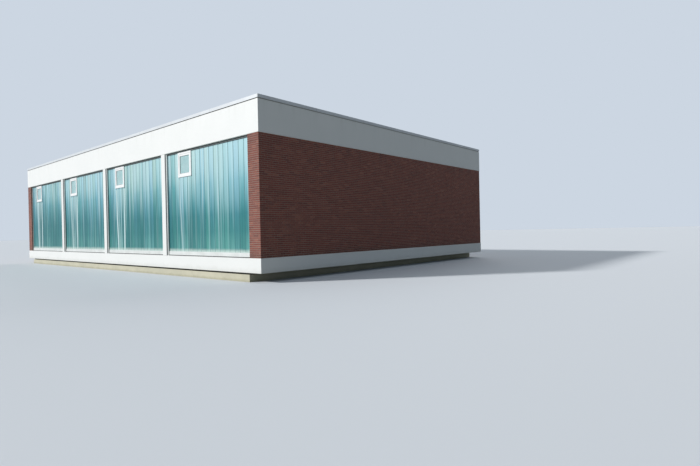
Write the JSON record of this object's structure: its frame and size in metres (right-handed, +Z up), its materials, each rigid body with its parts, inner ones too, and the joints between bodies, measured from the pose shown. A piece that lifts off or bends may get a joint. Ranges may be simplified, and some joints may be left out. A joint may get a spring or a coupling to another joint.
{
  "type": "sports hall",
  "caption": "Single-storey sports hall with channel-glass bays between white posts, brick end walls, a white base band and a flat roof behind a tall fascia.",
  "frame": {"origin": "on the ground at the middle of the plan, the middle of the bounding box's bottom face", "axes": "+X along the hall, to the right as seen from outside the glazed front; +Y from that front to the back; +Z up"},
  "size_m": [26.508, 17.408, 6.78],
  "materials": {
    "red_brick": "fired facing brick with pale mortar, matt",
    "white_concrete": "smooth white painted concrete, matt",
    "plain_concrete": "beige cast concrete, matt",
    "channel_glass": "rolled blue-green channel glass, slightly obscured",
    "clear_glass": "clear sealed glazing",
    "pale_rail": "off-white stove enamel, satin",
    "dark_rail": "charcoal anodised look, satin",
    "white_window": "white stove enamel, satin",
    "coping_metal": "weathered folded aluminium, satin",
    "door_lining": "off-white paint, satin",
    "girder_steel": "grey primer, matt",
    "deck_steel": "pale grey coated sheet, satin",
    "sports_floor": "green sports flooring, matt",
    "outlet_plastic": "dark grey moulded plastic",
    "roof_felt": "grey roofing sheet, matt"
  },
  "bodies": {
    "root": {"plinth_front": "plain_concrete", "plinth_back": "plain_concrete", "plinth_left": "plain_concrete", "plinth_right": "plain_concrete", "floor_slab": "plain_concrete", "base_band_front": "white_concrete", "base_band_back": "white_concrete", "base_band_left": "white_concrete", "base_band_right": "white_concrete", "fascia_front": "white_concrete", "fascia_back": "white_concrete", "fascia_left": "white_concrete", "fascia_right": "white_concrete", "front_posts": "white_concrete", "back_posts": "white_concrete", "end_wall_left": "red_brick", "end_wall_right": "red_brick", "corner_piers": "red_brick", "back_wall_left": "red_brick", "back_wall_right": "red_brick", "back_wall_over_door": "red_brick", "front_glass_1": "channel_glass", "front_glass_2": "channel_glass", "front_glass_3": "channel_glass", "front_glass_4": "channel_glass", "back_glass_1": "channel_glass", "back_glass_2": "channel_glass", "back_glass_3": "channel_glass", "sill_rails": "pale_rail", "jamb_rails": "pale_rail", "head_rails": "dark_rail", "window_frames": "white_window", "window_sashes": "white_window", "window_panes": "clear_glass", "door_frame": "door_lining", "coping_front": "coping_metal", "coping_back": "coping_metal", "coping_left": "coping_metal", "coping_right": "coping_metal", "roof_girders": "girder_steel", "roof_deck": "deck_steel", "hall_floor": "sports_floor", "roof_covering": "roof_felt", "roof_outlets": "outlet_plastic"}
  },
  "joints": []
}
